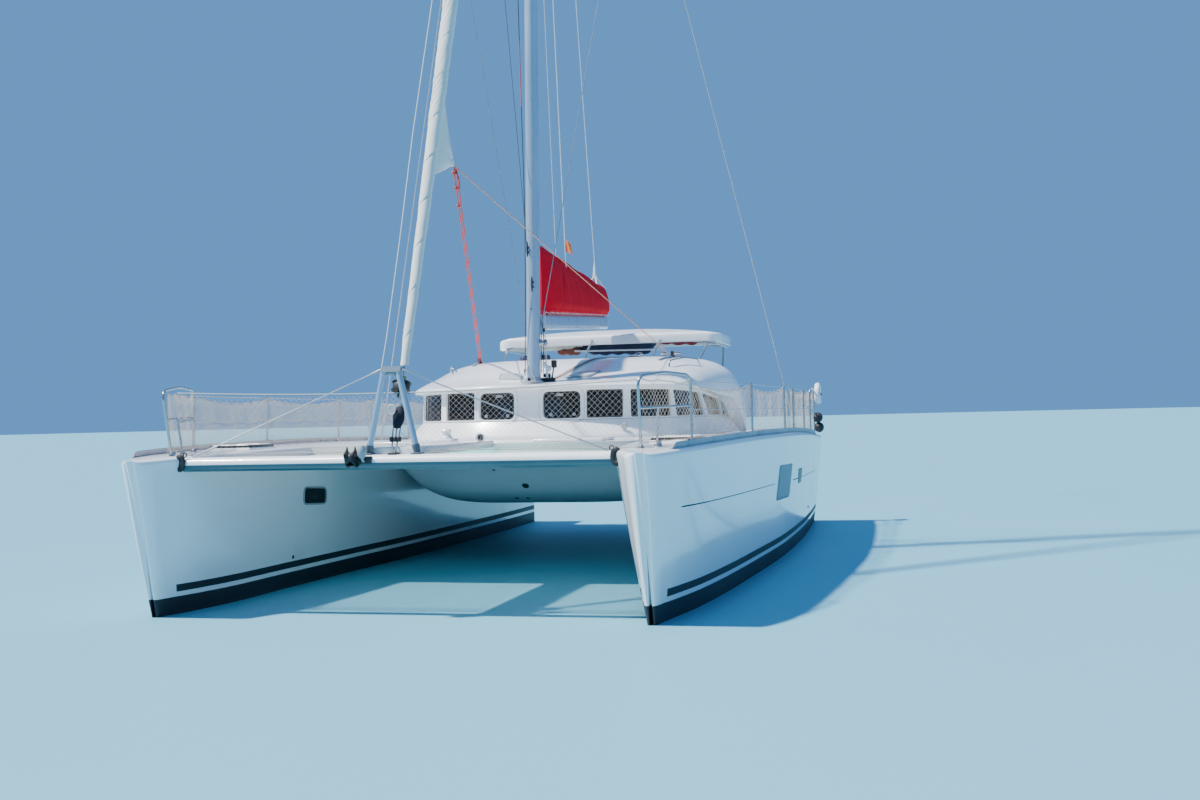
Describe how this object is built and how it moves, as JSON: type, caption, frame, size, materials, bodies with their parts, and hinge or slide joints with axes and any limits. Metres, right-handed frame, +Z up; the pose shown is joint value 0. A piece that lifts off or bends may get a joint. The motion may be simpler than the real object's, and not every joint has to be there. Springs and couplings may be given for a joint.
{
  "type": "sailing catamaran",
  "caption": "Cruising sailing catamaran with two hulls, netted bow trampolines, hollow saloon, covered cockpit, mast with a furled headsail, and a boom with a sail bag.",
  "frame": {"origin": "on the waterline amidships, on the boat's middle plane, where the calm water holds it", "axes": "+Z up along the mast's height, -Y towards the bows, +Y towards the sterns, +X to port"},
  "size_m": [6.53, 11.55, 17.97],
  "materials": {
    "white_gelcoat": "glossy white gelcoat, moulded glass fibre",
    "dark_antifoul": "matt black antifouling paint",
    "grey_paint": "grey painted casting",
    "bronze": "bronze",
    "hatch_acrylic": "smoked acrylic",
    "tinted_glass": "dark tinted glass",
    "stainless_steel": "polished stainless steel tube",
    "seat_cloth": "grey-brown seat cloth",
    "cabinet_wood": "varnished wood",
    "spar_paint": "blue-grey anodised and painted aluminium",
    "netting": "pale woven net",
    "dark_plastic": "black plastic",
    "wire_steel": "stainless steel wire",
    "sailcloth": "off-white sailcloth",
    "bag_cloth": "red acrylic cloth"
  },
  "bodies": {
    "boat": {"hull_port": "white_gelcoat", "hull_starboard": "white_gelcoat", "keel_port": "dark_antifoul", "keel_starboard": "dark_antifoul", "drive_leg_port": "grey_paint", "drive_leg_starboard": "grey_paint", "engine_port": "grey_paint", "engine_starboard": "grey_paint", "bridgedeck": "white_gelcoat", "foredeck": "white_gelcoat", "cockpit_coaming": "white_gelcoat", "coachroof": "white_gelcoat", "cabin_sides": "white_gelcoat", "saloon_glass": "tinted_glass", "aft_bulkhead": "white_gelcoat", "door_track": "stainless_steel", "saloon_settee": "seat_cloth", "saloon_table": "cabinet_wood", "galley": "cabinet_wood", "cockpit_bench": "white_gelcoat", "cockpit_table": "cabinet_wood", "helm_console": "white_gelcoat", "bimini_roof": "white_gelcoat", "bimini_frame": "stainless_steel", "crossbeam": "spar_paint", "striker_frame": "spar_paint", "walkway": "white_gelcoat", "trampoline_port": "netting", "trampoline_starboard": "netting", "bow_roller": "dark_plastic", "windlass": "stainless_steel", "pulpit_port": "stainless_steel", "pulpit_starboard": "stainless_steel", "guard_rail_port": "stainless_steel", "guard_rail_starboard": "stainless_steel", "toe_rail_port": "grey_paint", "toe_rail_starboard": "grey_paint", "mast": "spar_paint", "diamond_stay_port": "wire_steel", "diamond_stay_starboard": "wire_steel", "cap_shroud_port": "wire_steel", "cap_shroud_starboard": "wire_steel", "furled_genoa": "sailcloth", "forestay_drum": "dark_plastic", "forestay_head": "wire_steel"},
    "propeller_port_body": {"propeller_port": "bronze"},
    "propeller_starboard_body": {"propeller_starboard": "bronze"},
    "rudder_port_body": {"rudder_port": "dark_antifoul"},
    "rudder_starboard_body": {"rudder_starboard": "dark_antifoul"},
    "helm_wheel_body": {"helm_wheel": "stainless_steel"},
    "saloon_door_body": {"saloon_door": "tinted_glass"},
    "engine_hatch_port_body": {"engine_hatch_port": "white_gelcoat"},
    "engine_hatch_starboard_body": {"engine_hatch_starboard": "white_gelcoat"},
    "bow_hatch_port_body": {"bow_hatch_port": "hatch_acrylic"},
    "bow_hatch_starboard_body": {"bow_hatch_starboard": "hatch_acrylic"},
    "locker_lid_port_body": {"locker_lid_port": "white_gelcoat"},
    "locker_lid_starboard_body": {"locker_lid_starboard": "white_gelcoat"},
    "boom_body": {"boom": "spar_paint", "sail_bag": "bag_cloth"}
  },
  "joints": [
    {"name": "propeller_port_spin", "type": "hinge", "parent": "boat", "child": "propeller_port_body", "pos_m": [2.5159, 4.135, -0.68], "axis": [0, 1, 0], "continuous": true},
    {"name": "propeller_starboard_spin", "type": "hinge", "parent": "boat", "child": "propeller_starboard_body", "pos_m": [-2.5159, 4.135, -0.68], "axis": [0, 1, 0], "continuous": true},
    {"name": "rudder_port_turn", "type": "hinge", "parent": "boat", "child": "rudder_port_body", "pos_m": [2.5063, 5.04, -0.275], "axis": [0, 0, 1], "range_deg": [-35, 35]},
    {"name": "rudder_starboard_turn", "type": "hinge", "parent": "boat", "child": "rudder_starboard_body", "pos_m": [-2.5063, 5.04, -0.275], "axis": [0, 0, 1], "range_deg": [-35, 35]},
    {"name": "helm_wheel_turn", "type": "hinge", "parent": "boat", "child": "helm_wheel_body", "pos_m": [1.22, 2.78, 1.9], "axis": [0, 1, 0], "range_deg": [-280, 280]},
    {"name": "boom_swing", "type": "hinge", "parent": "boat", "child": "boom_body", "pos_m": [0, -0.33, 3.15], "axis": [0, 0, 1], "range_deg": [-45, 45]},
    {"name": "saloon_door_slide", "type": "slide", "parent": "boat", "child": "saloon_door_body", "axis": [-1, 0, 0], "range_m": [0, 0.66]},
    {"name": "engine_hatch_port_lift", "type": "hinge", "parent": "boat", "child": "engine_hatch_port_body", "pos_m": [2.56, 3.47, 1.5688], "axis": [1, 0, 0], "range_deg": [0, 85]},
    {"name": "bow_hatch_port_lift", "type": "hinge", "parent": "boat", "child": "bow_hatch_port_body", "pos_m": [2.46, -3.975, 1.6177], "axis": [1, 0, 0], "range_deg": [0, 85]},
    {"name": "locker_lid_port_lift", "type": "hinge", "parent": "boat", "child": "locker_lid_port_body", "pos_m": [1, -2.025, 1.6003], "axis": [-1, 0, 0], "range_deg": [0, 85]},
    {"name": "engine_hatch_starboard_lift", "type": "hinge", "parent": "boat", "child": "engine_hatch_starboard_body", "pos_m": [-2.56, 3.47, 1.5688], "axis": [1, 0, 0], "range_deg": [0, 85]},
    {"name": "bow_hatch_starboard_lift", "type": "hinge", "parent": "boat", "child": "bow_hatch_starboard_body", "pos_m": [-2.46, -3.975, 1.6177], "axis": [1, 0, 0], "range_deg": [0, 85]},
    {"name": "locker_lid_starboard_lift", "type": "hinge", "parent": "boat", "child": "locker_lid_starboard_body", "pos_m": [-1, -2.025, 1.6003], "axis": [-1, 0, 0], "range_deg": [0, 85]}
  ],
  "couplings": [
    {"joint": "rudder_starboard_turn", "follows": "rudder_port_turn", "ratio": 1},
    {"joint": "helm_wheel_turn", "follows": "rudder_port_turn", "ratio": 8}
  ]
}
